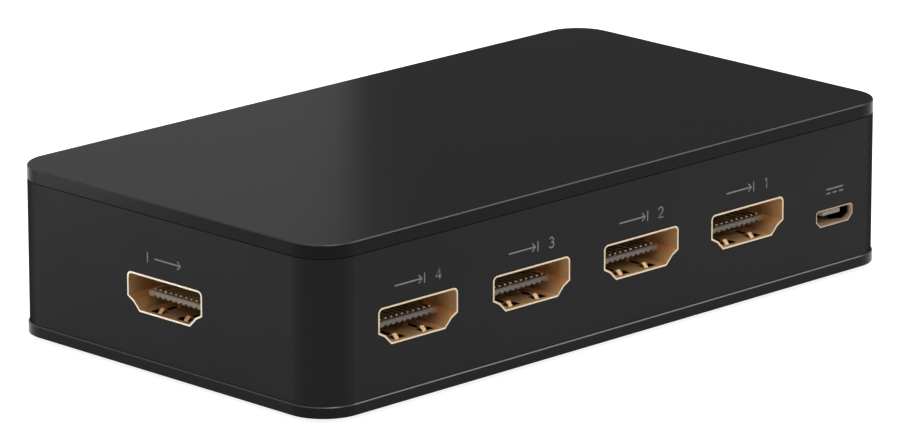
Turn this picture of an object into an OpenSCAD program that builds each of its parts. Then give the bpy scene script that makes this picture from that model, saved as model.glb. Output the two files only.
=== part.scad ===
// Video switch box: four inputs, one output and a power inlet in a low black case.
// A wall frame is clamped between a top cover and a base plate, and the board with
// all its sockets stands on the base plate.
// Origin: middle of the footprint, at the undersides of the feet, with +Z up.
// The inputs and the power inlet face -Y, the output faces -X, the controls face +Y.

/* [Case] */
// Width of the wall frame, along X
case_w = 109.2; // [106:0.2:140]
// Depth of the wall frame, along Y
case_d = 60.4; // [56:0.2:90]
// Height of the wall frame, between cover and base plate
frame_h = 19.7; // [17:0.05:30]
// Outer radius of the upright corners
corner_r = 5.6; // [3.6:0.2:8]
// Wall thickness of the frame
wall = 1.8; // [1.4:0.1:2.2]

/* [Cover and base plate] */
// Thickness of the top cover
cover_t = 1.95; // [1.2:0.05:3]
// Thickness of the base plate
base_t = 1.55; // [1.5:0.05:3]
// How far the base plate stands out past the frame
base_out = 0.2; // [0.1:0.05:0.6]
// Chamfer along the upper outer edges of cover and base plate
edge_cut = 0.13; // [0.1:0.01:0.4]
// Height of the shadow groove under the cover's rim
seam_h = 0.1; // [0.1:0.05:0.4]
// Depth of the shadow groove
seam_d = 0.5; // [0.3:0.1:0.9]
// Height of the lips that locate cover and base plate inside the frame
lip_h = 1.8; // [1:0.2:3]
// Thickness of those lips
lip_t = 1.2; // [0.8:0.1:1.6]
// Room between a lip and the frame
lip_gap = 0.1; // [0.05:0.05:0.3]

/* [Feet] */
// Diameter of a rubber foot
foot_d = 8; // [6:0.5:9]
// How far a foot stands out of the base plate
foot_h = 0.8; // [0.5:0.1:2]
// Depth of the foot's seat in the base plate
foot_sink = 0.4; // [0.2:0.1:0.6]
// Room round a foot in its seat
foot_gap = 0.1; // [0.05:0.05:0.3]
// Foot centre in from the frame's side faces
foot_in_x = 13.5; // [12:0.5:20]
// Foot centre in from the frame's long faces
foot_in_y = 8.2; // [7:0.2:14]

/* [Case screws] */
// Diameter of the cover's screw posts
post_d = 5.2; // [4.6:0.2:6]
// Post centre in from the frame's side faces
post_in_x = 5.2; // [5:0.2:7]
// Post centre in from the frame's long faces
post_in_y = 9.7; // [9.4:0.1:13]
// Thread diameter of a case screw
screw_d = 2.4; // [2:0.1:3]
// Length of a case screw
screw_len = 8; // [6:0.5:12]
// Diameter of a case screw's countersunk head
screw_head_d = 4.6; // [4:0.1:5]
// Radial room between a thread and its pilot hole
thread_gap = 0.05; // [0.02:0.01:0.1]
// Radial room round a screw in a through hole
hole_gap = 0.2; // [0.1:0.05:0.4]

/* [Board] */
// Thickness of the board
board_t = 1.6; // [1:0.2:2]
// Room between the board's edge and the frame
board_gap = 1; // [0.5:0.1:1.4]
// Height of the base plate's standoffs
standoff_h = 4; // [3:0.1:6]
// Diameter of a standoff
standoff_d = 5; // [4.4:0.2:6]
// Room between a screw post and the board
post_gap = 0.4; // [0.2:0.1:0.8]
// Board screws in from the frame's ends
board_screw_in_x = 20.6; // [20:0.2:24]
// Board screw row towards the inputs, in from their face
input_row_in = 18.2; // [17.4:0.2:20]
// Board screw row towards the controls, in from their face
control_row_in = 14.2; // [13.2:0.2:18]
// Thread diameter of a board screw
board_screw_d = 2; // [1.6:0.1:2.4]
// Length of a board screw under its head
board_screw_len = 5; // [3:0.5:5]
// Diameter of a board screw's head
board_head_d = 4; // [3.6:0.1:4.6]
// Height of a board screw's head
board_head_h = 1.3; // [1:0.1:1.8]

/* [Video sockets] */
// Middle of the first input in from the frame's +X end
first_input_in = 29; // [26:0.2:30]
// Middle of the last input in from the frame's -X end
last_input_in = 17.2; // [16.2:0.2:20]
// Middle of the output along Y
output_y = -0.25; // [-4:0.25:4]
// Middle of an input's opening above the board
input_rise = 3.55; // [3.2:0.05:4.5]
// Middle of the output's opening above the board
output_rise = 3.25; // [3.2:0.05:4.5]
// Width of a socket's opening
av_w = 14; // [13.9:0.05:14.2]
// Height of a socket's opening
av_h = 4.75; // [4.55:0.05:4.9]
// Height of the opening's upright sides
av_side = 3.05; // [2.8:0.05:3.2]
// How far the opening steps in below its sides
av_step = 1.05; // [0.9:0.05:1.2]
// Height of that step
av_step_h = 0.55; // [0.4:0.05:0.7]
// How far the opening's floor ends in from its sides
av_floor_in = 2.2; // [2:0.05:2.4]
// Radius of the opening's upper corners
av_corner_r = 0.55; // [0.3:0.05:0.8]
// Depth of a socket, from the frame's face
av_depth = 11.3; // [10.5:0.1:12.5]
// Where the shell's floor ends
av_floor_end = 6.2; // [5.8:0.1:6.6]
// Thickness of the sockets' sheet metal
sheet = 0.25; // [0.2:0.05:0.35]
// Room round a socket in the frame
socket_gap = 0.1; // [0.05:0.05:0.3]
// Depth at which the frame's cut-outs widen, behind the sockets' rims
relief_at = 1; // [0.8:0.1:1.2]
// How far those cut-outs widen, so that the fingers can give
relief = 0.4; // [0.4:0.05:0.6]

/* [Video contacts] */
// Depth of the tongue's front face
tongue_at = 2; // [1.8:0.1:2.4]
// Width of the tongue
tongue_w = 10.4; // [10.2:0.1:10.8]
// Thickness of the tongue
tongue_t = 0.85; // [0.75:0.05:1.1]
// Top of the tongue below the opening's middle
tongue_drop = 0.05; // [0:0.05:0.3]
// Depth of the insulator's rear block
block_at = 7; // [6.8:0.1:7.6]
// Room between insulator and shell
block_gap = 0.05; // [0.02:0.01:0.1]
// Width of a contact groove
groove_w = 0.5; // [0.4:0.05:0.6]
// Depth of a contact groove
groove_h = 0.3; // [0.2:0.05:0.35]
// Solid edge in front of the upper grooves
groove_edge = 0.35; // [0.2:0.05:0.6]
// Width of a contact
contact_w = 0.3; // [0.2:0.05:0.35]
// Thickness of a contact
contact_t = 0.15; // [0.1:0.01:0.18]
// How far an upper contact's nose stands above the tongue
nose_rise = 0.2; // [0.1:0.01:0.25]
// Pitch of the contacts in a row
contact_pitch = 1; // [0.9:0.05:1]
// Length of a contact's soldered foot
contact_foot = 1; // [0.6:0.1:1.4]

/* [Spring fingers] */
// Width of a finger
finger_w = 0.7; // [0.5:0.05:1]
// Distance of a finger from the socket's middle
finger_x = 2.5; // [2.3:0.1:2.8]
// Slot on each side of a finger's hook
finger_room = 0.8; // [0.3:0.05:0.9]
// Slot in front of a finger's hook
finger_front = 0.7; // [0.3:0.05:0.8]
// Slot on each side of a finger's arm
finger_gap = 0.08; // [0.05:0.01:0.15]
// Where a finger is rooted
finger_root = 5; // [4.8:0.1:5.6]
// Where a finger's hook stands highest
finger_crest = 2; // [2:0.1:2.4]
// Height of the hook's crest above the wall
finger_rise = 0.3; // [0.2:0.02:0.4]
// How far the hook's free end dips below the wall
finger_dip = 0.36; // [0:0.02:0.4]
// How far a finger's arm lies below the wall
finger_sink = 0.35; // [0.2:0.05:0.35]

/* [Socket legs] */
// Width of a socket's leg
leg_w = 1.2; // [0.8:0.1:1.6]
// Depth of the front pair of legs
leg_front = 4.2; // [4.2:0.1:4.6]
// Depth of the rear pair of legs
leg_rear = 9.2; // [8:0.1:9.6]
// How far a leg's shoulders stand out on each side, on the board
leg_shoulder = 0.4; // [0.3:0.05:0.6]
// How far a leg reaches below the board
leg_out = 0.4; // [0.2:0.1:0.8]
// Room round a leg in the board
leg_gap = 0.15; // [0.1:0.05:0.2]

/* [Power inlet] */
// Middle of the power inlet in from the frame's +X end
power_in = 11.25; // [11:0.05:13]
// Width of the inlet's opening
power_w = 7.2; // [6.9:0.05:7.3]
// Height of the inlet's opening
power_h = 2.15; // [1.85:0.05:2.2]
// Thickness of the inlet's sheet metal
power_sheet = 0.15; // [0.15:0.05:0.3]
// Width of the opening's cut lower corners
power_cut_w = 0.8; // [0.6:0.05:1]
// Height of the opening's cut lower corners
power_cut_h = 0.78; // [0.6:0.02:0.9]
// Radius of the opening's upper corners
power_corner_r = 0.4; // [0.2:0.05:0.5]
// Depth of the inlet
power_depth = 5.6; // [5:0.1:6]
// Depth of the inlet's tongue
power_tongue_at = 0.6; // [0.5:0.1:1]
// Width of the inlet's tongue
power_tongue_w = 3.5; // [3.3:0.1:3.8]
// Thickness of the inlet's tongue
power_tongue_t = 0.54; // [0.36:0.02:0.6]
// Underside of the inlet's tongue above the opening's middle
power_tongue_rise = 0.17; // [0.1:0.01:0.25]
// Depth of the inlet's rear block
power_block_at = 3.6; // [3.2:0.1:4]
// Pitch of the inlet's contacts
power_pitch = 0.65; // [0.6:0.05:0.65]

/* [Select button] */
// Middle of the button in from the frame's +X end
button_in = 18.6; // [16:0.2:24]
// Middle of all controls above the board
control_rise = 3.7; // [3.6:0.1:4.4]
// Width of the button
button_w = 9; // [8:0.2:10]
// Height of the button
button_h = 4.6; // [4:0.1:5]
// How far the button stands out of the frame
button_out = 0.8; // [0.5:0.1:1]
// Room round the button in the frame
button_gap = 0.15; // [0.1:0.05:0.3]
// How far the button can be pressed
button_travel = 0.3; // [0.2:0.05:0.4]
// Width of the flange that keeps the button in
flange_w = 0.8; // [0.6:0.1:1.2]
// Thickness of that flange
flange_t = 0.8; // [0.6:0.1:1]
// Room between flange and frame
flange_gap = 0.1; // [0.05:0.05:0.2]
// Length of the button's stem
stem_len = 0.8; // [0.6:0.1:1.2]
// Diameter of the button's stem
stem_d = 3; // [2.4:0.2:3.4]

/* [Push switch] */
// Width of the switch body
switch_w = 6.2; // [6:0.1:6.8]
// Height of the switch body
switch_h = 6.6; // [6.2:0.1:7.4]
// Depth of the switch body
switch_t = 3.2; // [3:0.1:4]
// Diameter of the switch's plunger
plunger_d = 3.5; // [3:0.1:3.8]
// How far the plunger stands out of the switch
plunger_out = 0.9; // [0.7:0.1:1.2]
// Length of the plunger inside the switch
plunger_in = 1.6; // [1.2:0.1:2]
// Radial room round the plunger
plunger_gap = 0.05; // [0.03:0.01:0.1]

/* [Indicators] */
// Pitch of the five indicators
led_pitch = 7; // [6:0.2:8]
// Diameter of a light rod
rod_d = 2; // [1.6:0.1:2.4]
// Room round a light rod in the frame
rod_gap = 0.1; // [0.05:0.05:0.2]
// Room between a light rod and its lamp
lamp_gap = 0.2; // [0.1:0.05:0.4]
// Width of an indicator lamp
lamp_w = 2; // [1.6:0.1:2]
// Depth of an indicator lamp
lamp_t = 1.25; // [1:0.05:1.4]
// Height of an indicator lamp
lamp_h = 0.8; // [0.6:0.1:1]

/* [Remote receiver] */
// Middle of the receiver in from the frame's -X end
remote_in = 18.6; // [16:0.2:24]
// Width of the receiver
remote_w = 6; // [5:0.2:7]
// Height of the receiver
remote_h = 6.9; // [6.4:0.1:7.4]
// Thickness of the receiver
remote_t = 2.6; // [2.2:0.1:3.2]
// Radius of the receiver's lens
remote_lens_r = 2.1; // [1.8:0.1:2.4]
// Depth of the receiver's flat front
remote_at = 5.6; // [5.4:0.1:6]

/* [Board layout] */
// Middle of the switching chip along X
switch_chip_x = 5; // [3:0.5:7]
// Middle of the switching chip along Y
switch_chip_y = -4; // [-5:0.5:0]
// Side of the switching chip
switch_chip_w = 10; // [8:0.5:11]
// Height of the switching chip
switch_chip_h = 0.9; // [0.8:0.1:1.2]
// Middle of the control chip along X
control_chip_x = -19; // [-22:0.5:-17]
// Middle of the control chip along Y
control_chip_y = 1; // [-2:0.5:2]
// Length of the control chip
control_chip_l = 9.9; // [9.5:0.1:10.3]
// Width of the control chip
control_chip_w = 3.9; // [3.5:0.1:4.5]
// Height of the control chip
control_chip_h = 1.5; // [1.2:0.1:1.8]
// Middle of the voltage regulator in from the frame's +X end
regulator_in_x = 13.1; // [12.6:0.1:13.6]
// Middle of the voltage regulator in from the inputs' face
regulator_in_y = 17.2; // [16.2:0.2:18.2]
// Length of the voltage regulator
regulator_l = 6.5; // [6:0.1:6.7]
// Width of the voltage regulator
regulator_w = 3.5; // [3:0.1:3.8]
// Height of the voltage regulator
regulator_h = 1.6; // [1.4:0.1:1.8]
// Middle of the storage coil in from the frame's +X end
coil_in_x = 12.6; // [11.6:0.2:14]
// Middle of the storage coil along Y
coil_y = -5; // [-6:0.5:-4]
// Side of the storage coil
coil_w = 5.6; // [4:0.2:6]
// Height of the storage coil
coil_h = 2.6; // [2:0.2:4]
// Middle of the clock crystal along X
crystal_x = -19; // [-22:0.5:-17]
// Middle of the clock crystal along Y
crystal_y = 11; // [10:0.5:13]
// Length of the clock crystal's can
crystal_l = 10.6; // [10:0.1:11]
// Width of the clock crystal's can
crystal_w = 4.1; // [3.8:0.1:4.5]
// Height of the clock crystal's can
crystal_h = 3.5; // [2.5:0.1:4]
// Middle of the bulk capacitors in from the frame's +X end
capacitor_in_x = 11.6; // [11.2:0.2:13.6]
// Middle of the first bulk capacitor along Y
capacitor_y = 3; // [2.5:0.5:5]
// Pitch of the bulk capacitors
capacitor_pitch = 7; // [6.4:0.2:7.4]
// Diameter of a bulk capacitor
capacitor_d = 5; // [4:0.2:5.8]
// Height of a bulk capacitor
capacitor_h = 5.4; // [4:0.2:7]
// Length of a chip capacitor
chip_capacitor_l = 1.6; // [1:0.1:2]
// Width of a chip capacitor
chip_capacitor_w = 0.8; // [0.5:0.05:1.25]
// Height of a chip capacitor
chip_capacitor_h = 0.8; // [0.5:0.05:1.25]
// Length of a chip resistor
chip_resistor_l = 1.6; // [1:0.1:2]
// Width of a chip resistor
chip_resistor_w = 0.8; // [0.5:0.05:1.25]
// Height of a chip resistor
chip_resistor_h = 0.5; // [0.35:0.05:0.6]
// Pitch of the chip capacitors and resistors
chip_pitch = 2; // [1.6:0.1:2.2]
// Distance of their rows from the switching chip
chip_room = 2.5; // [1.5:0.1:3]
// Length of a surge array
surge_l = 2.5; // [2:0.1:3]
// Width of a surge array
surge_w = 1; // [0.8:0.1:1.4]
// Height of a surge array
surge_h = 0.6; // [0.5:0.05:0.8]
// Distance of a surge array from its socket's middle
surge_x = 2.6; // [2:0.1:4]
// Room between a surge array and the contacts' feet
surge_room = 0.9; // [0.5:0.1:1.2]

/* [Hidden] */
$fn = 64;
inputs = 4;
indicators = 5;
over = 1;
foot_z = foot_h + foot_sink;
base_z = foot_h;
frame_z = base_z + base_t;
cover_z = frame_z + frame_h;
board_z = frame_z + standoff_h;
board_top = board_z + board_t;
board_in = wall + board_gap;
input_pitch = (case_w - first_input_in - last_input_in) / (inputs - 1);
power_rise = power_sheet + power_h / 2;
control_chip_size = [control_chip_l, control_chip_w, control_chip_h];
regulator_size = [regulator_l, regulator_w, regulator_h];
surge_size = [surge_l, surge_w, surge_h];
// Video opening, counter-clockwise from its upper right corner, middle at zero
av_half = av_w / 2;
av_top = av_h / 2;
av_points = [
    [av_half, av_top],
    [-av_half, av_top],
    [-av_half, av_top - av_side],
    [-av_half + av_step, av_top - av_side - av_step_h],
    [-av_half + av_floor_in, -av_top],
    [av_half - av_floor_in, -av_top],
    [av_half - av_step, av_top - av_side - av_step_h],
    [av_half, av_top - av_side]
];
// Power opening, in the same order
power_half = power_w / 2;
power_top = power_h / 2;
power_points = [
    [power_half, power_top],
    [-power_half, power_top],
    [-power_half, -power_top + power_cut_h],
    [-power_half + power_cut_w, -power_top],
    [power_half - power_cut_w, -power_top],
    [power_half, -power_top + power_cut_h]
];
tongue_top = -tongue_drop;
tongue_floor = tongue_top - tongue_t;
tongue_bevel = 0.12;
strip_at = tongue_at + groove_edge + contact_t;
finger_tip = finger_crest - finger_rise - finger_dip;
block_back = av_depth - sheet;
tail_gap = 0.1;
tail_at = block_back + tail_gap;
power_tail_at = power_depth + tail_gap;
power_block_back = power_depth - 2 * power_sheet;
flange_at = wall + flange_gap;
stem_at = flange_at + flange_t;
plunger_at = stem_at + stem_len;
switch_at = plunger_at + plunger_out;
bracket_t = 0.3;
bracket_arm = 2;
guide_gap = 0.4;
guide_at = wall + guide_gap;
guide_t = 1;
lamp_at = guide_at + guide_t + lamp_t / 2 + guide_gap;
lamp_margin = 0.1;
guide_end = (indicators - 1) / 2 * led_pitch + rod_d + 1.5 * guide_t;
pin_d = 1.2;
lead_w = 0.5;
lead_pitch = 1.27;
lead_t = 0.2;
lead_out = 0.6;
lead_foot = 0.8;
recess_span = 0.56;
recess_depth = 0.7;
recess_slot = 0.22;
screw_head_h = (screw_head_d - screw_d) / 2;
black = "#242426";
gold = "#d6a24a";
steel = "#c9cbcd";

// Outward normal of an edge of a counter-clockwise outline
function edge_normal(a, b) = [b[1] - a[1], a[0] - b[0]] / norm(b - a);
function moved_corner(a, b, c, g) =
    let (m = edge_normal(a, b), n = edge_normal(b, c))
    b + g * (m + n) / (1 + m * n);
// The outline with every edge moved outwards by g
function grown(points, g) =
    let (n = len(points))
    [for (i = [0 : n - 1]) moved_corner(points[(i + n - 1) % n], points[i], points[(i + 1) % n], g)];
function input_x(n) = case_w / 2 - first_input_in - (n - 1) * input_pitch;

// Places: a socket's own frame has its opening's middle at zero and +Y going in
module at_input(n) translate([input_x(n), -case_d / 2, board_top + input_rise]) children();
module at_output() translate([-case_w / 2, output_y, board_top + output_rise]) rotate(-90) children();
module at_power() translate([case_w / 2 - power_in, -case_d / 2, board_top + power_rise]) children();
module at_button() at_control(case_w / 2 - button_in) children();
module at_remote() at_control(remote_in - case_w / 2) children();
module at_control(x) translate([x, case_d / 2, board_top + control_rise]) rotate(180) children();
module at_corners(in_x, in_y) {
    for (x = [-1, 1], y = [-1, 1])
        translate([x * (case_w / 2 - in_x), y * (case_d / 2 - in_y), 0]) children();
}
module at_posts() at_corners(post_in_x, post_in_y) children();
module at_feet() at_corners(foot_in_x, foot_in_y) children();
module at_board_screws() {
    for (x = [-1, 1], y = [input_row_in - case_d / 2, case_d / 2 - control_row_in])
        translate([x * (case_w / 2 - board_screw_in_x), y, 0]) children();
}
// A face drawn in X and Z, carried inwards from one depth to another
module inwards(from, to) translate([0, to, 0]) rotate([90, 0, 0]) linear_extrude(to - from) children();
module through_wall() inwards(-over, wall + over) children();
// A section drawn in depth and Z, carried across X with its middle at x
module across(x, w) translate([x - w / 2, 0, 0]) rotate([90, 0, 90]) linear_extrude(w) children();

// Outlines
module round_rect(w, d, r) {
    square([w - 2 * r, d], center = true);
    square([w, d - 2 * r], center = true);
    for (x = [-1, 1], y = [-1, 1]) translate([x * (w / 2 - r), y * (d / 2 - r)]) circle(r);
}
module pill(w, h) {
    square([w - h, h], center = true);
    for (x = [-1, 1]) translate([x * (w - h) / 2, 0]) circle(d = h);
}
module button_outline(g) pill(button_w + 2 * g, button_h + 2 * g);
// An outline grown by g, with its two upper corners rounded
module socket_outline(points, r, g) {
    difference() {
        polygon(grown(points, g));
        for (x = [0, 1]) mirror([x, 0]) translate(points[0] - [r, r]) difference() {
            square(r + g + over);
            circle(r + g);
        }
    }
}
module av_outline(g) socket_outline(av_points, av_corner_r, g);
module power_outline(g) socket_outline(power_points, power_corner_r, g);

// A plate whose rim follows a section that is drawn from the rim's inner side out to r
module rimmed_plate(w, d, r, t) {
    cx = w / 2 - r;
    cy = d / 2 - r;
    translate([-cx, -cy, 0]) cube([2 * cx, 2 * cy, t]);
    for (q = [0 : 3]) {
        mid = q % 2 == 0 ? [cx, cy] : [cy, cx];
        rotate(90 * q) {
            translate([mid[0], mid[1], 0]) rotate_extrude(angle = 90) children();
            translate([-mid[0], mid[1], 0]) rotate([90, 0, 90]) linear_extrude(2 * mid[0]) children();
        }
    }
}
module chamfered_rim(r, t) {
    polygon([[0, 0], [r, 0], [r, t - edge_cut], [r - edge_cut, t], [0, t]]);
}
module inner_lip(h) {
    lip_in = wall + lip_gap;
    linear_extrude(h) difference() {
        round_rect(case_w - 2 * lip_in, case_d - 2 * lip_in, corner_r - lip_in);
        round_rect(case_w - 2 * (lip_in + lip_t), case_d - 2 * (lip_in + lip_t), corner_r - lip_in - lip_t);
    }
}

// Case
module top_cover() {
    color(black) difference() {
        union() {
            translate([0, 0, cover_z]) rimmed_plate(case_w, case_d, corner_r, cover_t) difference() {
                chamfered_rim(corner_r, cover_t);
                translate([corner_r - seam_d, -over]) square([seam_d + over, seam_h + over]);
            }
            translate([0, 0, cover_z - lip_h]) inner_lip(lip_h);
            at_posts() translate([0, 0, frame_z]) cylinder(d = post_d, h = frame_h);
        }
        at_posts() translate([0, 0, frame_z - over])
            cylinder(r = screw_d / 2 + thread_gap, h = screw_len + over);
    }
}
// Cut-out for a video socket, wider behind the socket's rim
module socket_window() {
    through_wall() av_outline(sheet + socket_gap);
    inwards(relief_at, wall + over) av_outline(sheet + socket_gap + relief);
}
module housing_frame() {
    color(black) difference() {
        translate([0, 0, frame_z]) linear_extrude(frame_h) difference() {
            round_rect(case_w, case_d, corner_r);
            round_rect(case_w - 2 * wall, case_d - 2 * wall, corner_r - wall);
        }
        for (n = [1 : inputs]) at_input(n) socket_window();
        at_output() socket_window();
        at_power() through_wall() power_outline(power_sheet + socket_gap);
        at_button() through_wall() button_outline(button_gap);
        at_remote() through_wall() button_outline(0);
        for (i = [1 : indicators]) at_control(indicator_x(i)) through_wall() circle(rod_d / 2 + rod_gap);
    }
}
module base_plate() {
    color(black) difference() {
        union() {
            translate([0, 0, base_z])
                rimmed_plate(case_w + 2 * base_out, case_d + 2 * base_out, corner_r + base_out, base_t)
                chamfered_rim(corner_r + base_out, base_t);
            translate([0, 0, frame_z]) difference() {
                inner_lip(lip_h);
                at_posts() translate([0, 0, -over])
                    cylinder(r = post_d / 2 + post_gap, h = lip_h + 2 * over);
            }
            at_board_screws() translate([0, 0, frame_z]) cylinder(d = standoff_d, h = standoff_h);
        }
        at_board_screws() translate([0, 0, board_z - board_screw_len + board_t - thread_gap])
            cylinder(r = board_screw_d / 2 + thread_gap, h = board_screw_len + over);
        at_posts() {
            translate([0, 0, base_z - over]) cylinder(r = screw_d / 2 + hole_gap, h = base_t + 2 * over);
            translate([0, 0, base_z]) cylinder(d1 = screw_head_d, d2 = screw_d, h = screw_head_h);
        }
        at_feet() translate([0, 0, base_z - over])
            cylinder(r = foot_d / 2 + foot_gap, h = foot_sink + over);
    }
}
module rubber_feet() {
    color("#1b1b1c") at_feet() rotate_extrude() difference() {
        square([foot_d / 2, foot_z]);
        translate([foot_d / 2, 0]) rotate(45) square(foot_h / 2, center = true);
    }
}
module case_screws() {
    color(steel) at_posts() translate([0, 0, base_z]) difference() {
        union() {
            cylinder(d1 = screw_head_d, d2 = screw_d, h = screw_head_h);
            cylinder(d = screw_d, h = screw_len);
        }
        cross_recess(screw_head_d, screw_head_h);
    }
}
// Crossed slots of a screw head of diameter d and height h, cut upwards from z = 0
module cross_recess(d, h) {
    span = d * recess_span;
    slot = d * recess_slot * recess_span;
    for (turn = [0, 90]) rotate(turn) translate([-span / 2, -slot / 2, -over])
        cube([span, slot, h * recess_depth + over]);
}

// Board
module main_board() {
    color("#1c5a3c") difference() {
        translate([0, 0, board_z]) linear_extrude(board_t) difference() {
            round_rect(case_w - 2 * board_in, case_d - 2 * board_in, corner_r - board_in);
            at_corners(post_in_x, post_in_y) circle(post_d / 2 + post_gap);
            at_corners(post_in_x / 2, post_in_y) square([post_in_x, post_d + 2 * post_gap], center = true);
            at_board_screws() circle(board_screw_d / 2 + hole_gap);
        }
        for (n = [1 : inputs]) at_input(n) leg_ends(input_rise, leg_gap);
        at_output() leg_ends(output_rise, leg_gap);
        at_button() bracket_legs(leg_gap);
        at_button() terminal_pins(leg_gap);
        at_control(0) guide_pins(leg_gap);
        at_remote() lead_pins(leg_gap);
    }
}
module board_screws() {
    color(steel) at_board_screws() translate([0, 0, board_top]) difference() {
        union() {
            cylinder(d = board_head_d, h = board_head_h);
            translate([0, 0, -board_screw_len]) cylinder(d = board_screw_d, h = board_screw_len);
        }
        translate([0, 0, board_head_h]) mirror([0, 0, 1]) cross_recess(board_head_d, board_head_h);
    }
}

// Video sockets
module socket_shell(rise) {
    color(gold) {
        difference() {
            inwards(0, av_depth) difference() {
                av_outline(sheet);
                av_outline(0);
            }
            translate([-av_w, av_floor_end, -av_h]) cube([2 * av_w, av_depth, av_h + av_top - av_side]);
            for (x = [-1, 1], up = [0, 1]) mirror([0, 0, up]) finger_slot(x * finger_x);
        }
        for (x = [-1, 1], up = [0, 1]) mirror([0, 0, up]) spring_finger(x * finger_x);
        shell_legs(rise);
    }
}
// Narrow slot for a finger's arm that widens round its hook
module finger_slot(x) {
    slot_part(x, finger_gap, finger_crest, finger_root);
    slot_part(x, finger_room, finger_tip - finger_front, finger_crest + sheet);
}
module slot_part(x, room, from, to) {
    w = finger_w + 2 * room;
    translate([x - w / 2, from, -av_top - sheet - over / 4]) cube([w, to - from, sheet + over / 2]);
}
// Sheet strip that sinks below the wall and rises into a hook near its free end
module spring_finger(x) {
    hook_back = finger_crest + sheet;
    top = [
        [finger_root + sheet, 0],
        [finger_root, 0],
        [finger_root - finger_sink, -finger_sink],
        [hook_back + finger_rise + finger_sink, -finger_sink],
        [hook_back, finger_rise],
        [finger_crest, finger_rise],
        [finger_tip, -finger_dip]
    ];
    n = len(top);
    below = [for (i = [n - 1 : -1 : 0]) top[i] - [0, sheet]];
    translate([0, 0, -av_top]) across(x, finger_w) polygon(concat(top, below));
}
// Legs in line with the shell's sides, with shoulders that stand on the board
module shell_legs(rise) {
    leg_top = av_top - av_side + sheet;
    for (x = [0, 1], at = [leg_front, leg_rear]) mirror([x, 0, 0])
        translate([av_half, at - leg_shoulder, -rise])
        cube([sheet, leg_w + 2 * leg_shoulder, rise + leg_top]);
    leg_ends(rise, 0);
}
module leg_ends(rise, gap) {
    for (x = [0, 1], at = [leg_front, leg_rear]) mirror([x, 0, 0])
        translate([av_half - gap, at - gap, -rise - board_t - leg_out])
        cube([sheet + 2 * gap, leg_w + 2 * gap, board_t + leg_out + sheet]);
}
module socket_insulator(rise) {
    foot_w = av_w - 2 * av_floor_in;
    color("#8a8784") difference() {
        union() {
            inwards(block_at, block_back) av_outline(-block_gap);
            translate([-foot_w / 2, block_at, -rise]) cube([foot_w, block_back - block_at, rise]);
            across(0, tongue_w) tongue_section();
        }
        for (x = row(10)) across(x, groove_w) upper_groove();
        for (x = row(9)) across(x, groove_w) lower_groove();
    }
}
// Places of the contacts in a row of n
function row(n) = [for (i = [0 : n - 1]) (i - (n - 1) / 2) * contact_pitch];
module tongue_section() {
    polygon([
        [block_at + over, tongue_floor],
        [tongue_at + tongue_bevel, tongue_floor],
        [tongue_at, tongue_floor + tongue_bevel],
        [tongue_at, tongue_top - tongue_bevel],
        [tongue_at + tongue_bevel, tongue_top],
        [block_at + over, tongue_top]
    ]);
}
module upper_groove() {
    open_len = block_at - tongue_at - groove_edge;
    translate([tongue_at + groove_edge, tongue_top - groove_h]) {
        square([av_depth, groove_h]);
        square([open_len, groove_h + tongue_t]);
    }
}
module lower_groove() {
    open_len = block_at - tongue_at + over;
    translate([tongue_at - over, tongue_floor]) square([av_depth, groove_h]);
    translate([tongue_at - over, tongue_floor - tongue_t]) square([open_len, tongue_t + groove_h]);
}
module socket_contacts(rise) {
    upper = tongue_top - groove_h;
    lower = tongue_floor + groove_h - contact_t;
    nose = contact_w;
    color(gold) {
        for (x = row(10)) across(x, contact_w) {
            contact_strip(upper, rise);
            translate([strip_at, upper]) square([nose, groove_h + nose_rise]);
        }
        for (x = row(9)) across(x, contact_w) {
            contact_strip(lower, rise);
            translate([strip_at, lower - contact_t]) square([nose, 2 * contact_t]);
        }
    }
}
// A strip along the tongue, down behind the block and out to a foot on the board
module contact_strip(z, rise) {
    translate([strip_at, z]) square([tail_at + contact_t - strip_at, contact_t]);
    translate([tail_at, -rise]) square([contact_t, rise + z + contact_t]);
    translate([tail_at, -rise]) square([contact_foot, contact_t]);
}

// Power inlet
module power_shell() {
    color(gold) at_power() inwards(0, power_depth) difference() {
        power_outline(power_sheet);
        power_outline(0);
    }
}
module power_insulator() {
    tongue_z = power_tongue_rise;
    color("#b9b7b4") at_power() difference() {
        union() {
            translate([0, 0, -block_gap]) inwards(power_block_at, power_block_back) power_outline(-block_gap);
            translate([-power_tongue_w / 2, power_tongue_at, tongue_z])
                cube([power_tongue_w, power_block_at - power_tongue_at + power_sheet, power_tongue_t]);
        }
        for (i = [-2 : 2])
            translate([i * power_pitch - groove_w / 2, power_block_at - over, tongue_z - groove_h])
            cube([groove_w, power_depth, groove_h]);
    }
}
module power_contacts() {
    z = power_tongue_rise - contact_t;
    nose_at = power_tongue_at + groove_edge;
    color(gold) at_power() for (i = [-2 : 2]) across(i * power_pitch, contact_w) {
        translate([nose_at, z]) square([power_tail_at + contact_t - nose_at, contact_t]);
        translate([power_tail_at, -power_rise]) square([contact_t, power_rise + z + contact_t]);
        translate([power_tail_at, -power_rise]) square([contact_foot, contact_t]);
    }
}

// Select button and its switch
module select_button() {
    color("#2c2c2f") at_button() {
        inwards(-button_out, flange_at) button_outline(0);
        inwards(flange_at, stem_at) button_outline(flange_w);
        inwards(stem_at, plunger_at) circle(d = stem_d);
    }
}
module switch_plunger() {
    color("#d8d6d0") at_button() inwards(plunger_at, switch_at + plunger_in) circle(d = plunger_d);
}
module switch_body() {
    bore_end = switch_at + plunger_in + 2 * button_travel;
    color("#1f1f21") at_button() difference() {
        translate([-switch_w / 2, switch_at + bracket_t, -control_rise])
            cube([switch_w, switch_t - bracket_t, switch_h]);
        inwards(switch_at - over, bore_end) circle(plunger_d / 2 + plunger_gap);
    }
}
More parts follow.
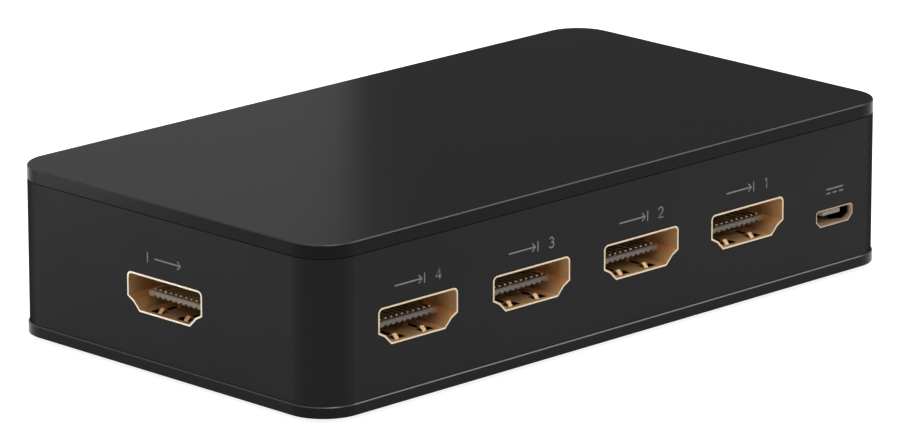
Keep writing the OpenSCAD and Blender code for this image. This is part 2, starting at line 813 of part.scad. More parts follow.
// Steel plate in front of the switch, with an arm and a leg down each side
module switch_bracket() {
    color(steel) at_button() {
        inwards(switch_at, switch_at + bracket_t) difference() {
            translate([-switch_w / 2 - bracket_t, -control_rise])
                square([switch_w + 2 * bracket_t, switch_h]);
            circle(plunger_d / 2 + plunger_gap);
        }
        for (x = [0, 1]) mirror([x, 0, 0])
            translate([switch_w / 2, switch_at, -control_rise]) cube([bracket_t, bracket_arm, switch_h]);
        bracket_legs(0);
    }
}
module bracket_legs(gap) {
    leg_at = switch_at + bracket_arm - leg_w - gap;
    leg_end = -control_rise - board_t - leg_out;
    for (x = [0, 1]) mirror([x, 0, 0]) translate([switch_w / 2 - gap, leg_at, leg_end])
        cube([bracket_t + 2 * gap, leg_w + 2 * gap, board_t + leg_out + bracket_t]);
}
module switch_terminals() {
    color(steel) at_button() {
        terminal_pins(0);
        for (x = [-1, 1]) translate([x * switch_w / 4 - lead_w / 2, switch_at + switch_t, -control_rise])
            cube([lead_w, lead_w, switch_h / 3]);
    }
}
module terminal_pins(gap) {
    pin_end = -control_rise - board_t - leg_out;
    for (x = [-1, 1]) translate([x * switch_w / 4 - lead_w / 2 - gap, switch_at + switch_t - gap, pin_end])
        cube([lead_w + 2 * gap, lead_w + 2 * gap, board_t + leg_out + bracket_t]);
}

// Indicators
function indicator_x(i) = (i - (indicators + 1) / 2) * led_pitch;
// One clear moulding: a rod for each lamp, joined by a bar that stands on two pads
module light_guide() {
    bar_h = rod_d * 0.6;
    pad = rod_d;
    color("#e6e9ec") at_control(0) {
        for (i = [1 : indicators]) {
            translate([indicator_x(i), 0, 0]) inwards(0, guide_at + guide_t / 2) circle(d = rod_d);
            across(indicator_x(i), rod_d) light_bend();
        }
        translate([-guide_end, guide_at, -bar_h / 2]) cube([2 * guide_end, guide_t, bar_h]);
        for (x = [-1, 1]) translate([x * (guide_end - pad / 2) - pad / 2, guide_at, -control_rise])
            cube([pad, guide_t + pad, control_rise + bar_h / 2]);
        guide_pins(0);
    }
}
// Section of a rod's bend, with a slanted face that turns the lamp's light forwards
module light_bend() {
    leg_end = -control_rise + lamp_h + lamp_gap;
    front = lamp_at - lamp_t / 2 - lamp_margin;
    back = lamp_at + lamp_t / 2 + lamp_margin;
    polygon([
        [guide_at, -rod_d / 2],
        [front, -rod_d / 2],
        [front, leg_end],
        [back, leg_end],
        [back, rod_d / 2 - (back - guide_at - guide_t)],
        [guide_at + guide_t, rod_d / 2],
        [guide_at, rod_d / 2]
    ]);
}
module guide_pins(gap) {
    pad = rod_d;
    pin_end = -control_rise - board_t / 2;
    for (x = [-1, 1]) translate([x * (guide_end - pad / 2), guide_at + guide_t + pad / 2, pin_end - gap])
        cylinder(d = pin_d + 2 * gap, h = board_t / 2 + gap + guide_t);
}
module indicator_lamps() {
    color("#f2efe2") for (i = [1 : indicators]) at_control(indicator_x(i))
        translate([-lamp_w / 2, lamp_at - lamp_t / 2, -control_rise]) cube([lamp_w, lamp_t, lamp_h]);
}

// Remote control receiver
module remote_window() {
    color("#2a1416") at_remote() {
        inwards(0, wall) button_outline(0);
        inwards(wall, wall + flange_t) button_outline(flange_w);
    }
}
module remote_receiver() {
    color("#1d1d1f") at_remote() {
        translate([-remote_w / 2, remote_at, -control_rise]) cube([remote_w, remote_t, remote_h]);
        translate([0, remote_at + remote_lens_r / 4, 0]) sphere(remote_lens_r);
    }
}
module remote_leads() {
    color(steel) at_remote() lead_pins(0);
}
module lead_pins(gap) {
    pin_at = remote_at + remote_t / 2 - lead_w / 2 - gap;
    pin_end = -control_rise - board_t - leg_out - gap;
    for (i = [-1 : 1]) translate([2 * i * lead_pitch - lead_w / 2 - gap, pin_at, pin_end])
        cube([lead_w + 2 * gap, lead_w + 2 * gap, board_t + leg_out + gap]);
}

// Parts on the board
module on_board(x, y) translate([x, y, board_top]) children();
// A box of three sizes, with its underside's middle at zero
module chip_part(size) translate([-size[0] / 2, -size[1] / 2, 0]) cube(size);
// A moulded chip with a round mark at its first contact
module chip_body(size) {
    mark = size[2];
    difference() {
        chip_part(size);
        translate([mark - size[0] / 2, mark - size[1] / 2, size[2] - lead_t / 2])
            cylinder(d = mark, h = over);
    }
}
// Bent lead at the +Y side of a chip, from half its height down to the board
module gull_lead(size, w) {
    side = size[1] / 2;
    mid = size[2] / 2;
    across(0, w) {
        translate([side - lead_t, mid]) square([lead_out + lead_t, lead_t]);
        translate([side + lead_out - lead_t, 0]) square([lead_t, mid + lead_t]);
        translate([side + lead_out - lead_t, 0]) square([lead_foot, lead_t]);
    }
}
module switch_chip() {
    color("#1a1a1c") on_board(switch_chip_x, switch_chip_y)
        chip_body([switch_chip_w, switch_chip_w, switch_chip_h]);
}
module control_chip() {
    lead_count = 8;
    color("#1a1a1c") on_board(control_chip_x, control_chip_y) {
        chip_body(control_chip_size);
        for (turn = [0, 180], i = [1 : lead_count]) rotate(turn)
            translate([(i - (lead_count + 1) / 2) * lead_pitch, 0, 0])
            gull_lead(control_chip_size, 2 * lead_t);
    }
}
module voltage_regulator() {
    pitch = regulator_size[0] * 0.35;
    color("#1a1a1c") on_board(case_w / 2 - regulator_in_x, regulator_in_y - case_d / 2) {
        chip_body(regulator_size);
        rotate(180) gull_lead(regulator_size, regulator_size[0] / 2);
        for (i = [-1 : 1]) translate([i * pitch, 0, 0]) gull_lead(regulator_size, lead_w);
    }
}
module storage_coil() {
    core_d = coil_w * 0.8;
    color("#3a3a3d") on_board(case_w / 2 - coil_in_x, coil_y) {
        linear_extrude(coil_h) round_rect(coil_w, coil_w, coil_w / 5);
        cylinder(d = core_d, h = coil_h + 2 * lead_t);
    }
}
// Flat-ended steel can with a welded flange round its foot
module clock_crystal() {
    flange = 2 * lead_t;
    color(steel) on_board(crystal_x, crystal_y) {
        linear_extrude(flange) pill(crystal_l + 2 * flange, crystal_w + 2 * flange);
        linear_extrude(crystal_h) pill(crystal_l, crystal_w);
    }
}
// Round cans on square seats
module bulk_capacitors() {
    seat = capacitor_d + lead_t;
    x = case_w / 2 - capacitor_in_x;
    color("#bfc2c6") for (i = [0, 1]) on_board(x, capacitor_y + i * capacitor_pitch) {
        chip_part([seat, seat, lead_foot]);
        cylinder(d = capacitor_d, h = capacitor_h);
    }
}
// A row of chip capacitors along two sides of the switching chip
module chip_capacitors() {
    row_y = switch_chip_w / 2 + chip_room;
    color("#b08d62") for (side = [-1, 1], i = [-2.5 : 2.5])
        on_board(switch_chip_x + i * chip_pitch, switch_chip_y + side * row_y)
        chip_part([chip_capacitor_w, chip_capacitor_l, chip_capacitor_h]);
}
// A row of chip resistors along its other two sides
module chip_resistors() {
    row_x = switch_chip_w / 2 + chip_room;
    color("#2b2b2d") for (side = [-1, 1], i = [-2 : 2])
        on_board(switch_chip_x + side * row_x, switch_chip_y + i * chip_pitch)
        chip_part([chip_resistor_l, chip_resistor_w, chip_resistor_h]);
}
// A pair of surge arrays behind each video socket
module surge_arrays() {
    behind = tail_at + contact_foot + surge_room + surge_w / 2;
    color("#1a1a1c") for (x = [-surge_x, surge_x]) {
        for (n = [1 : inputs]) at_input(n) translate([x, behind, -input_rise]) chip_part(surge_size);
        at_output() translate([x, behind, -output_rise]) chip_part(surge_size);
    }
}

top_cover();
housing_frame();
base_plate();
rubber_feet();
case_screws();
main_board();
board_screws();
for (n = [1 : inputs]) {
    at_input(n) socket_shell(input_rise);
    at_input(n) socket_insulator(input_rise);
    at_input(n) socket_contacts(input_rise);
}
at_output() socket_shell(output_rise);  // output_shell
at_output() socket_insulator(output_rise);  // output_insulator
at_output() socket_contacts(output_rise);  // output_contacts
power_shell();
power_insulator();
power_contacts();
select_button();
switch_plunger();
switch_body();
switch_bracket();
switch_terminals();
light_guide();
indicator_lamps();
remote_window();
remote_receiver();
remote_leads();
switch_chip();
control_chip();
voltage_regulator();
storage_coil();
clock_crystal();
bulk_capacitors();
chip_capacitors();
chip_resistors();
surge_arrays();
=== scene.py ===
"""Looks of the video switch box: materials, printed marks, studio and camera.

Sizes are in millimetres until mm() turns them into Blender's metres. The frame is the part's own:
inputs and power inlet face -Y, the output faces -X, the controls face +Y, and the feet stand on z = 0.
"""
import math

import bpy
from mathutils import Matrix, Vector


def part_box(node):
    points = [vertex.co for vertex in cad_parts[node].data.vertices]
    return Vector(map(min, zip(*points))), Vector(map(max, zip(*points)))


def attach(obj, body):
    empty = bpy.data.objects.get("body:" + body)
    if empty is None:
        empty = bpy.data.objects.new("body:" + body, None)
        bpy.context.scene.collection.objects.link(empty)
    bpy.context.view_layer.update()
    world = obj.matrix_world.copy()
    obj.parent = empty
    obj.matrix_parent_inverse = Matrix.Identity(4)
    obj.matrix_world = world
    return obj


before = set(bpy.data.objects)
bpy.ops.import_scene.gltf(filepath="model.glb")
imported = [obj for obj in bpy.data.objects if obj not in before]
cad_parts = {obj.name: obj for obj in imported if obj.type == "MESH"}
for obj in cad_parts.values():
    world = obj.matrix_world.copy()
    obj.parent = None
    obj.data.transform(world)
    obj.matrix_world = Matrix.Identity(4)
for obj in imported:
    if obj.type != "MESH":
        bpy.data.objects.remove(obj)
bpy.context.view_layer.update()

LEFT, RIGHT = Vector((-1, 0, 0)), Vector((1, 0, 0))
FRONT, BACK = Vector((0, -1, 0)), Vector((0, 1, 0))
UP = Vector((0, 0, 1))


def mm(*values):
    """One length or a point, from millimetres to metres."""
    scaled = [v / 1000.0 for v in values]
    return scaled[0] if len(scaled) == 1 else Vector(scaled)


def show(piece):
    """Puts a new object into the scene."""
    bpy.context.scene.collection.objects.link(piece)


# Shader helpers: what one gives back is a node's output, which another can take

GRAIN_DETAIL, PATCH_DETAIL = 2.0, 3.0
PATCH_STOPS = (0.32, 0.68)
LEVEL_STREAKS, UPRIGHT_STREAKS = (0.15, 0.15, 1), (1, 1, 0.1)


def principled(material):
    """The node that gives a material its finish."""
    return material.node_tree.nodes["Principled BSDF"]


def shader(name, colour, roughness, **sockets):
    """A new material with the values that are the same all over."""
    material = bpy.data.materials.new(name)
    material.use_nodes = True
    inputs = principled(material).inputs
    inputs["Base Color"].default_value = (*colour, 1.0)
    inputs["Roughness"].default_value = roughness
    for socket, value in sockets.items():
        inputs[socket.replace("_", " ")].default_value = value
    return material


def drive(material, socket, source):
    """Lets a node's output set one of the finish's sockets."""
    material.node_tree.links.new(source, principled(material).inputs[socket])


def noise(material, size, detail, stretch=(1, 1, 1)):
    """A noise in the object's own space whose blobs are about size mm across."""
    tree = material.node_tree
    place = tree.nodes.new("ShaderNodeTexCoord")
    mapping = tree.nodes.new("ShaderNodeMapping")
    mapping.inputs["Scale"].default_value = stretch
    texture = tree.nodes.new("ShaderNodeTexNoise")
    texture.inputs["Scale"].default_value = 1.0 / mm(size)
    texture.inputs["Detail"].default_value = detail
    tree.links.new(place.outputs["Object"], mapping.inputs["Vector"])
    tree.links.new(mapping.outputs["Vector"], texture.inputs["Vector"])
    return texture.outputs["Fac"]


def grain(material, size, height, stretch=(1, 1, 1)):
    """Surface relief: blobs about size mm across and height mm high."""
    tree = material.node_tree
    bump = tree.nodes.new("ShaderNodeBump")
    bump.inputs["Strength"].default_value = 1.0
    bump.inputs["Distance"].default_value = mm(height)
    tree.links.new(noise(material, size, GRAIN_DETAIL, stretch), bump.inputs["Height"])
    drive(material, "Normal", bump.outputs["Normal"])


def patches(material, size, low, high):
    """Wanders between two colours over patches about size mm across."""
    tree = material.node_tree
    steps = tree.nodes.new("ShaderNodeValToRGB")
    for stop, place, colour in zip(steps.color_ramp.elements, PATCH_STOPS, (low, high)):
        stop.color = (*colour, 1.0)
        stop.position = place
    tree.links.new(noise(material, size, PATCH_DETAIL), steps.inputs["Fac"])
    return steps.outputs["Color"]


def grey(value):
    """A colour with the same red, green and blue."""
    return (value, value, value)


def wandering(material, size, spread):
    """The material's roughness, which wanders by spread to either side."""
    centre = principled(material).inputs["Roughness"].default_value
    return patches(material, size, grey(centre - spread), grey(centre + spread))


def uneven_gloss(material, size, spread):
    """Lets the roughness wander over patches about size mm across."""
    drive(material, "Roughness", wandering(material, size, spread))


def uneven_colour(material, size, low, high):
    """Lets the colour wander over patches about size mm across."""
    drive(material, "Base Color", patches(material, size, low, high))


def slanting(material):
    """0 where a surface faces the eye and 1 where it is seen edge-on."""
    return material.node_tree.nodes.new("ShaderNodeLayerWeight").outputs["Facing"]


def along(material, space, weights):
    """How far a point or its normal lies along a direction, in one of the texture spaces."""
    tree = material.node_tree
    place = tree.nodes.new("ShaderNodeTexCoord")
    dot = tree.nodes.new("ShaderNodeVectorMath")
    dot.operation = "DOT_PRODUCT"
    dot.inputs[1].default_value = weights
    tree.links.new(place.outputs[space], dot.inputs[0])
    return dot.outputs["Value"]


def ramp(material, value, span):
    """Goes from 0 to 1 as a value goes from the span's start to its end."""
    tree = material.node_tree
    node = tree.nodes.new("ShaderNodeMapRange")
    node.inputs["From Min"].default_value, node.inputs["From Max"].default_value = span
    tree.links.new(value, node.inputs["Value"])
    return node.outputs["Result"]


def blend(material, share, first, second):
    """A mix of two colours. Each is a tuple, or the output of a node."""
    tree = material.node_tree
    node = tree.nodes.new("ShaderNodeMix")
    node.data_type = "RGBA"
    tree.links.new(share, node.inputs["Factor"])
    for socket, colour in (("A", first), ("B", second)):
        if isinstance(colour, tuple):
            node.inputs[socket].default_value = (*colour, 1.0)
        else:
            tree.links.new(colour, node.inputs[socket])
    return node.outputs["Result"]


def combine(material, operation, first, second):
    """A sum or product of two nodes' outputs, kept between 0 and 1."""
    tree = material.node_tree
    node = tree.nodes.new("ShaderNodeMath")
    node.operation = operation
    node.use_clamp = True
    tree.links.new(first, node.inputs[0])
    if isinstance(second, float):
        node.inputs[1].default_value = second
    else:
        tree.links.new(second, node.inputs[1])
    return node.outputs["Value"]


def coat(piece, material):
    """Puts a material on the whole of a piece."""
    if not piece.material_slots:
        piece.data.materials.append(material)
    for slot in piece.material_slots:
        slot.link = "OBJECT"
        slot.material = material


def paint(material, *names):
    """Gives CAD nodes their material."""
    for name in names:
        coat(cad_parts[name], material)


# Case: how far a face looks upwards tells its level top, its slanting chamfer and its upright side apart

CHAMFER, LEVEL = (0.15, 0.4), (0.85, 0.95)
EDGE_ON = (0.38, 0.74)
CASE_BLACK, FRAME_BLACK = (0.005, 0.005, 0.0052), (0.0065, 0.0065, 0.0068)
# How metallic the chamfers are painted, as part of their painted highlight
CHAMFER_HIGHLIGHT_METAL = 0.5

frame_plastic = shader("frame_plastic", FRAME_BLACK, roughness=0.45, Specular_IOR_Level=0.14)
grain(frame_plastic, size=0.09, height=0.0004)
# The frame turns matt where it is seen edge-on
plain = wandering(frame_plastic, size=11, spread=0.02)
matt = ramp(frame_plastic, slanting(frame_plastic), EDGE_ON)
drive(frame_plastic, "Roughness", blend(frame_plastic, matt, plain, grey(1.0)))
paint(frame_plastic, "housing_frame")


def coated_plastic(name, node, roughness, gloss, chamfer_highlight_grey):
    """Black plastic whose chamfers are painted a lighter grey and half metallic, a painted highlight along
    its edges. Its level and upright faces stay plain.
    """
    plastic = shader(name, CASE_BLACK, roughness, Specular_IOR_Level=gloss)
    upward = along(plastic, "Normal", UP)
    slants, level = ramp(plastic, upward, CHAMFER), ramp(plastic, upward, LEVEL)
    for socket, plain, painted_highlight in (("Base Color", CASE_BLACK, grey(chamfer_highlight_grey)),
                                    ("Metallic", grey(0.0), grey(CHAMFER_HIGHLIGHT_METAL))):
        drive(plastic, socket, blend(plastic, slants, plain, blend(plastic, level, painted_highlight, plain)))
    grain(plastic, size=0.07, height=0.0002)
    uneven_gloss(plastic, size=16, spread=0.01)
    paint(plastic, node)


# The lighter grey given to each plate's chamfers is a painted highlight
coated_plastic("cover_plastic", "top_cover", roughness=0.22, gloss=0.08, chamfer_highlight_grey=0.085)
coated_plastic("base_plastic", "base_plate", roughness=0.16, gloss=0.1, chamfer_highlight_grey=0.14)

button_plastic = shader("button_plastic", (0.012, 0.012, 0.013), roughness=0.35, Specular_IOR_Level=0.35)
grain(button_plastic, size=0.06, height=0.0006)
uneven_gloss(button_plastic, size=3, spread=0.05)
paint(button_plastic, "select_button")

rubber = shader("rubber", (0.012, 0.012, 0.012), roughness=0.8, Specular_IOR_Level=0.3)
grain(rubber, size=0.25, height=0.01)
uneven_colour(rubber, size=2, low=(0.009, 0.009, 0.009), high=(0.018, 0.018, 0.017))
paint(rubber, "rubber_feet")

# Sockets: golden walls, with painted highlights on the hooks and cut rims, contact noses paler where they
# look out, and painted shade in the slots where a finger goes below the wall

WALL_GOLD, HOOK_HIGHLIGHT_GOLD, SLOT_SHADE = (0.95, 0.66, 0.36), (1.0, 0.75, 0.45), (0.02, 0.014, 0.009)
CONTACT_GOLD, NOSE_GOLD = (0.95, 0.72, 0.38), (0.72, 0.69, 0.64)
# How far a hook, and a cut rim or a nose, looks out of the socket
HOOK_SLOPE, SQUARE_ON = (0.5, 0.65), (0.8, 0.95)
# The opening's height, how far the fingers' backs stand over it, and the depths where a slot is painted
# with shade
SHELL_OPENING, FINGER_BACK = 4.75, 0.61
SLOT_FADE = (0.03, 0.1)


def named(sockets, suffix):
    """The sockets' nodes of one kind."""
    return [socket + suffix for socket in sockets]


def socket_shells(sockets, outward, roughness, rim_highlight_gold):
    """Plating of shells that face one way."""
    gold = shader("gold_plating_" + sockets[0], WALL_GOLD, roughness, Metallic=1.0)
    low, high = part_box(sockets[0] + "_shell")
    centre = high.z - mm(FINGER_BACK + SHELL_OPENING / 2)
    height = along(gold, "Generated", UP)
    colour = WALL_GOLD
    # Painted shade on the plating above and below the opening, where the fingers go beyond the wall
    for side in (-1, 1):
        ends = [centre + side * mm(SHELL_OPENING / 2 + depth) for depth in SLOT_FADE]
        span = [(end - low.z) / (high.z - low.z) for end in ends]
        colour = blend(gold, ramp(gold, height, span), colour, SLOT_SHADE)
    # Painted highlights: lighter gold on hooks that look out of the socket, and a paler colour on the
    # square-on cut rims
    facing = along(gold, "Normal", outward)
    colour = blend(gold, ramp(gold, facing, HOOK_SLOPE), colour, HOOK_HIGHLIGHT_GOLD)
    drive(gold, "Base Color", blend(gold, ramp(gold, facing, SQUARE_ON), colour, rim_highlight_gold))
    grain(gold, size=0.35, height=0.0008, stretch=LEVEL_STREAKS)
    uneven_gloss(gold, size=1.2, spread=0.04)
    paint(gold, *named(sockets, "_shell"))


def socket_contacts(sockets, outward):
    """Plating of the contacts of sockets that face one way."""
    gold = shader("contact_gold_" + sockets[0], CONTACT_GOLD, roughness=0.38, Metallic=1.0)
    nose = ramp(gold, along(gold, "Normal", outward), SQUARE_ON)
    drive(gold, "Base Color", blend(gold, nose, CONTACT_GOLD, NOSE_GOLD))
    uneven_gloss(gold, size=0.6, spread=0.04)
    paint(gold, *named(sockets, "_contacts"))


def socket_insulators(sockets, colour):
    """Grey plastic of the tongues."""
    plastic = shader("insulator_" + sockets[0], colour, roughness=0.35, Specular_IOR_Level=0.8)
    grain(plastic, size=0.12, height=0.001)
    uneven_gloss(plastic, size=1.5, spread=0.05)
    paint(plastic, *named(sockets, "_insulator"))


# Inputs and output are the same sockets; the output's cut rims and tongue are painted lighter than the
# inputs', as painted light for the way each side faces the lamps
INPUTS = ["input_1", "input_2", "input_3", "input_4"]
socket_shells(INPUTS, FRONT, roughness=0.57, rim_highlight_gold=(0.7, 0.59, 0.435))
socket_contacts(INPUTS, FRONT)
socket_insulators(INPUTS, (0.11, 0.093, 0.077))

OUTPUT = ["output"]
socket_shells(OUTPUT, LEFT, roughness=0.46, rim_highlight_gold=(0.77, 0.695, 0.565))
socket_contacts(OUTPUT, LEFT)
socket_insulators(OUTPUT, (0.22, 0.187, 0.15))

# Power inlet: golden near its rim and along its floor, with painted shade in its far corner and deep along
# its tongue

INLET_GOLD, INLET_RIM = (0.95, 0.74, 0.52), (0.46, 0.4, 0.33)
INLET_GREY, INLET_SHADE = (0.36, 0.34, 0.318), (0.008, 0.007, 0.006)
# Directions across and into the inlet's box, where its gold gives way to painted shade along each, and
# where its tongue is painted with shade
DEEP, DEEP_SPAN = Vector((3.75, 5.6, 0)), (4.1, 4.6)
FAR_SIDE, FAR_SPAN = Vector((1, -0.75, 0)), (0.25, 0.4)
TONGUE_SHADE_SPAN = (0.15, 0.4)

inlet_gold = shader("inlet_plating", INLET_GOLD, roughness=0.6, Metallic=1.0)
deep = ramp(inlet_gold, along(inlet_gold, "Generated", DEEP), DEEP_SPAN)
far_side = ramp(inlet_gold, along(inlet_gold, "Generated", FAR_SIDE), FAR_SPAN)
rim = ramp(inlet_gold, along(inlet_gold, "Normal", FRONT), SQUARE_ON)
# The far corner of the plating is painted with shade
inside = blend(inlet_gold, far_side, INLET_GOLD, blend(inlet_gold, deep, INLET_GOLD, INLET_SHADE))
drive(inlet_gold, "Base Color", blend(inlet_gold, rim, inside, INLET_RIM))
grain(inlet_gold, size=0.35, height=0.0008, stretch=LEVEL_STREAKS)
uneven_gloss(inlet_gold, size=1.2, spread=0.04)
paint(inlet_gold, "power_shell", "power_contacts")

inlet_plastic = shader("inlet_plastic", INLET_GREY, roughness=0.35)
# The tongue is painted with shade further in
inward = ramp(inlet_plastic, along(inlet_plastic, "Generated", BACK), TONGUE_SHADE_SPAN)
drive(inlet_plastic, "Base Color", blend(inlet_plastic, inward, INLET_GREY, INLET_SHADE))
grain(inlet_plastic, size=0.12, height=0.001)
uneven_gloss(inlet_plastic, size=1, spread=0.05)
paint(inlet_plastic, "power_insulator")

# Small parts of the hidden side, the underside and the inside

steel = shader("plated_steel", (0.62, 0.62, 0.63), roughness=0.31, Metallic=1.0)
grain(steel, size=0.3, height=0.001, stretch=UPRIGHT_STREAKS)
uneven_gloss(steel, size=1, spread=0.07)
paint(steel, "case_screws", "board_screws", "switch_bracket", "switch_terminals", "remote_leads",
      "clock_crystal")

aluminium = shader("aluminium_can", (0.72, 0.72, 0.74), roughness=0.28, Metallic=1.0)
uneven_gloss(aluminium, size=1, spread=0.06)
paint(aluminium, "bulk_capacitors")

solder_mask = shader("solder_mask", (0.012, 0.09, 0.045), roughness=0.3)
uneven_colour(solder_mask, size=0.8, low=(0.01, 0.075, 0.037), high=(0.016, 0.11, 0.056))
grain(solder_mask, size=0.5, height=0.004)
paint(solder_mask, "main_board")

chip_plastic = shader("chip_plastic", (0.014, 0.014, 0.015), roughness=0.56)
grain(chip_plastic, size=0.05, height=0.002)
uneven_gloss(chip_plastic, size=1, spread=0.06)
paint(chip_plastic, "switch_body", "remote_receiver", "switch_chip", "control_chip", "voltage_regulator",
      "storage_coil", "surge_arrays", "chip_resistors")

ceramic = shader("ceramic", (0.35, 0.24, 0.15), roughness=0.5)
uneven_colour(ceramic, size=0.5, low=(0.3, 0.2, 0.12), high=(0.4, 0.28, 0.18))
paint(ceramic, "chip_capacitors")

plunger_plastic = shader("plunger_plastic", (0.7, 0.68, 0.62), roughness=0.4)
grain(plunger_plastic, size=0.1, height=0.001)
uneven_gloss(plunger_plastic, size=1, spread=0.05)
paint(plunger_plastic, "switch_plunger")

milky_plastic = shader("clear_plastic", (0.5, 0.52, 0.54), roughness=0.4, Transmission_Weight=0.35, IOR=1.5)
uneven_gloss(milky_plastic, size=1.5, spread=0.04)
paint(milky_plastic, "light_guide")

window_plastic = shader("window_plastic", (0.02, 0.003, 0.004), roughness=0.085)
uneven_gloss(window_plastic, size=4, spread=0.025)
paint(window_plastic, "remote_window")

lamp_resin = shader("lamp_resin", (0.85, 0.82, 0.62), roughness=0.3)
uneven_colour(lamp_resin, size=0.6, low=(0.8, 0.76, 0.52), high=(0.88, 0.86, 0.7))
paint(lamp_resin, "indicator_lamps")


# Printed marks: strokes in face millimetres, x to the right and y up, as a reader of the face sees them

STROKE_W, STROKE_H = 0.21, 0.012

print_ink = shader("print_ink", (0.27, 0.27, 0.275), roughness=0.6)
grain(print_ink, size=0.05, height=0.001)
uneven_colour(print_ink, size=0.25, low=(0.25, 0.25, 0.255), high=(0.29, 0.29, 0.295))


def arc(cx, cy, r, start, end, steps=14):
    """Points of a circle's arc between two angles in degrees."""
    angles = [math.radians(start + (end - start) * i / steps) for i in range(steps + 1)]
    return [(cx + r * math.cos(a), cy + r * math.sin(a)) for a in angles]


NUMERALS = {
    1: [[(-0.28, 0.42), (0.08, 0.7), (0.08, -0.7)]],
    2: [arc(0, 0.28, 0.42, 165, -35) + [(-0.44, -0.7), (0.46, -0.7)]],
    3: [arc(0, 0.32, 0.38, 150, -80) + arc(0, -0.28, 0.42, 80, -155)],
    4: [[(0.22, -0.7), (0.22, 0.7), (-0.5, -0.3), (0.5, -0.3)]],
}
# An upright bar, and an arrow with its tip at x = 0
BAR = [[(0, 0.7), (0, -0.7)]]
ARROW = [[(-5, 0), (0, 0)], [(-0.62, 0.55), (0, 0), (-0.62, -0.55)]]
# Direct current: a long bar over three short ones
DIRECT = [[(-1.7, 0.3), (1.7, 0.3)], [(-1.7, -0.3), (-0.9, -0.3)], [(-0.4, -0.3), (0.4, -0.3)],
          [(0.9, -0.3), (1.7, -0.3)]]


def moved(strokes, x):
    """Strokes shifted to the right by x."""
    return [[(x + px, py) for px, py in stroke] for stroke in strokes]


def stroke_mesh(name, strokes):
    """Round rods along strokes, in the plane z = 0."""
    curve = bpy.data.curves.new(name, "CURVE")
    curve.dimensions = "3D"
    curve.bevel_depth = mm(STROKE_W / 2)
    curve.bevel_resolution = 3
    curve.use_fill_caps = True
    for stroke in strokes:
        spline = curve.splines.new("POLY")
        spline.points.add(len(stroke) - 1)
        for point, (x, y) in zip(spline.points, stroke):
            point.co = (mm(x), mm(y), 0.0, 1.0)
    draft = bpy.data.objects.new(name + ".draft", curve)
    show(draft)
    bpy.context.view_layer.update()
    mesh = bpy.data.meshes.new_from_object(draft.evaluated_get(bpy.context.evaluated_depsgraph_get()))
    bpy.data.objects.remove(draft)
    bpy.data.curves.remove(curve)
    mesh.name = name
    mesh.shade_smooth()
    return mesh


def printed(name, strokes, origin, right):
    """Ink on an upright face: rods along the strokes, pressed flat against it."""
    mesh = stroke_mesh(name, strokes)
    flatten = Matrix.Diagonal((1, 1, 2 * STROKE_H / STROKE_W, 1))
    turn = Matrix((right, UP, right.cross(UP))).transposed().to_4x4()
    mesh.transform(Matrix.Translation(origin) @ turn @ flatten)
    piece = bpy.data.objects.new(name, mesh)
    show(piece)
    coat(piece, print_ink)
    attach(piece, "case")


# Heights of the marks' middles, and where their strokes stand beside the middle of the socket below
INPUT_MARK_Z, OUTPUT_MARK_Z, POWER_MARK_Z = 16.6, 16.4, 12.9
INPUT_TIP, INPUT_BAR, INPUT_NUMERAL = 0.7, 1.15, 3.7
OUTPUT_BAR, OUTPUT_TIP = -3.2, 3.2

wall_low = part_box("housing_frame")[0]
for n, numeral in NUMERALS.items():
    low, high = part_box("input_%d_shell" % n)
    spot = Vector(((low.x + high.x) / 2, wall_low.y, mm(INPUT_MARK_Z)))
    strokes = moved(ARROW, INPUT_TIP) + moved(BAR, INPUT_BAR) + moved(numeral, INPUT_NUMERAL)
    printed("input_mark_%d" % n, strokes, spot, RIGHT)

low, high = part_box("output_shell")
spot = Vector((wall_low.x, (low.y + high.y) / 2, mm(OUTPUT_MARK_Z)))
printed("output_mark", moved(BAR, OUTPUT_BAR) + moved(ARROW, OUTPUT_TIP), spot, FRONT)

low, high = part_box("power_shell")
spot = Vector(((low.x + high.x) / 2, wall_low.y, mm(POWER_MARK_Z)))
printed("power_mark", DIRECT, spot, RIGHT)


# Studio

OBJECT_MIDDLE = (0, 0, 12)
# Cycles takes a panel's power as four times its radiance and area
POWER_PER_RADIANCE = 4.0
# Soft panels: name, place, the point that they face, width, height and radiance, where 1 mirrors as white
PANELS = (
    ("top_softbox", (120, 60, 900), OBJECT_MIDDLE, 900, 900, 1.6),
    ("right_fill", (690, -280, 700), OBJECT_MIDDLE, 300, 300, 1.6),
    ("left_fill", (-280, 690, 700), OBJECT_MIDDLE, 300, 300, 0.08),
    ("front_fill", (-780, -445, 800), OBJECT_MIDDLE, 1500, 550, 1.9),
    ("input_fill", (560, -720, 700), OBJECT_MIDDLE, 500, 300, 2.8),
    ("back_panel", (-57, 250, 100), (-163, 143, 100), 400, 200, 0.22),
)
for name, place, target, width, height, radiance in PANELS:
    lamp = bpy.data.lights.new(name, "AREA")
    lamp.shape = "RECTANGLE"
    lamp.size, lamp.size_y = mm(width), mm(height)
    lamp.energy = POWER_PER_RADIANCE * radiance * lamp.size * lamp.size_y
    panel = bpy.data.objects.new(name, lamp)
    panel.location = mm(*place)
    panel.rotation_euler = (mm(*target) - mm(*place)).to_track_quat("-Z", "Y").to_euler()
    panel.visible_camera = False
    show(panel)

# A pool of light on the floor, which the far end of the cover's left side mirrors
POOL_RADIUS, POOL_POWER = 32, 100.0
POOL_LAMP = (-125, 93, 600)
lamp = bpy.data.lights.new("floor_pool", "SPOT")
lamp.energy = POOL_POWER
lamp.spot_size = 2 * math.atan(POOL_RADIUS / POOL_LAMP[2])
lamp.spot_blend = 1.0
lamp.shadow_soft_size = 0.0
pool = bpy.data.objects.new("floor_pool", lamp)
pool.location = mm(*POOL_LAMP)
show(pool)

SKY_COLOUR = (0.16, 0.16, 0.165)
world = bpy.data.worlds.new("studio")
bpy.context.scene.world = world
world.use_nodes = True
sky = world.node_tree.nodes["Background"]
sky.inputs["Color"].default_value = (*SKY_COLOUR, 1.0)
sky.inputs["Strength"].default_value = 1.0

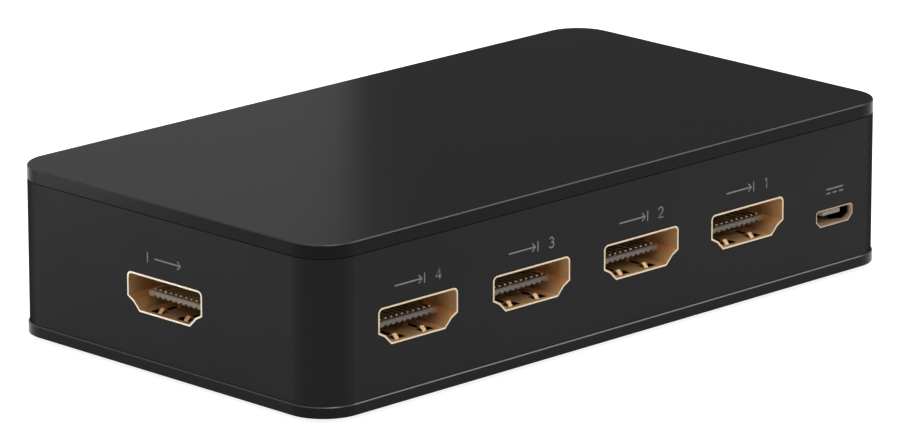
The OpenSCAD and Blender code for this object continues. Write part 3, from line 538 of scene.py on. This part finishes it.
# A floor that is white to the eye, in gloss and through clear plastic, and keeps the object's shadow
FLOOR_SIZE, FLOOR_GREY, FLOOR_GLOW = 6000, 0.55, 0.9
half = mm(FLOOR_SIZE) / 2
floor_mesh = bpy.data.meshes.new("floor")
floor_mesh.from_pydata([(-half, -half, 0), (half, -half, 0), (half, half, 0), (-half, half, 0)], [],
                       [(0, 1, 2, 3)])
floor = bpy.data.objects.new("floor", floor_mesh)
show(floor)
floor_paint = shader("floor", grey(FLOOR_GREY), roughness=0.9, Specular_IOR_Level=0.0,
                     Emission_Color=(1, 1, 1, 1))
rays = floor_paint.node_tree.nodes.new("ShaderNodeLightPath").outputs
seen = combine(floor_paint, "ADD", rays["Is Camera Ray"], rays["Is Glossy Ray"])
seen = combine(floor_paint, "ADD", seen, rays["Is Transmission Ray"])
drive(floor_paint, "Emission Strength", combine(floor_paint, "MULTIPLY", seen, FLOOR_GLOW))
coat(floor, floor_paint)

# Camera, as found from the photograph's edges
YAW, PITCH, ROLL = (math.radians(a) for a in (-44.842, 15.677, -0.083))
CAMERA_PLACE = (-597.225, -598.953, 248.084)
PHOTO_WIDTH_PX, FOCAL_PX = 900, 6420.448
SENSOR_WIDTH = 36
backwards = Vector((math.sin(YAW) * math.cos(PITCH), -math.cos(YAW) * math.cos(PITCH), math.sin(PITCH)))
sideways = Vector((math.cos(YAW), math.sin(YAW), 0))
upright = backwards.cross(sideways)
picture_right = math.cos(ROLL) * sideways + math.sin(ROLL) * upright
picture_up = math.cos(ROLL) * upright - math.sin(ROLL) * sideways
lens = bpy.data.cameras.new("camera")
lens.sensor_fit = "HORIZONTAL"
lens.sensor_width = SENSOR_WIDTH
lens.lens = FOCAL_PX * SENSOR_WIDTH / PHOTO_WIDTH_PX
camera = bpy.data.objects.new("camera", lens)
turned = Matrix((picture_right, picture_up, backwards)).transposed().to_4x4()
camera.matrix_world = Matrix.Translation(mm(*CAMERA_PLACE)) @ turned
show(camera)
bpy.context.scene.camera = camera
bpy.context.scene.view_settings.view_transform = "Standard"
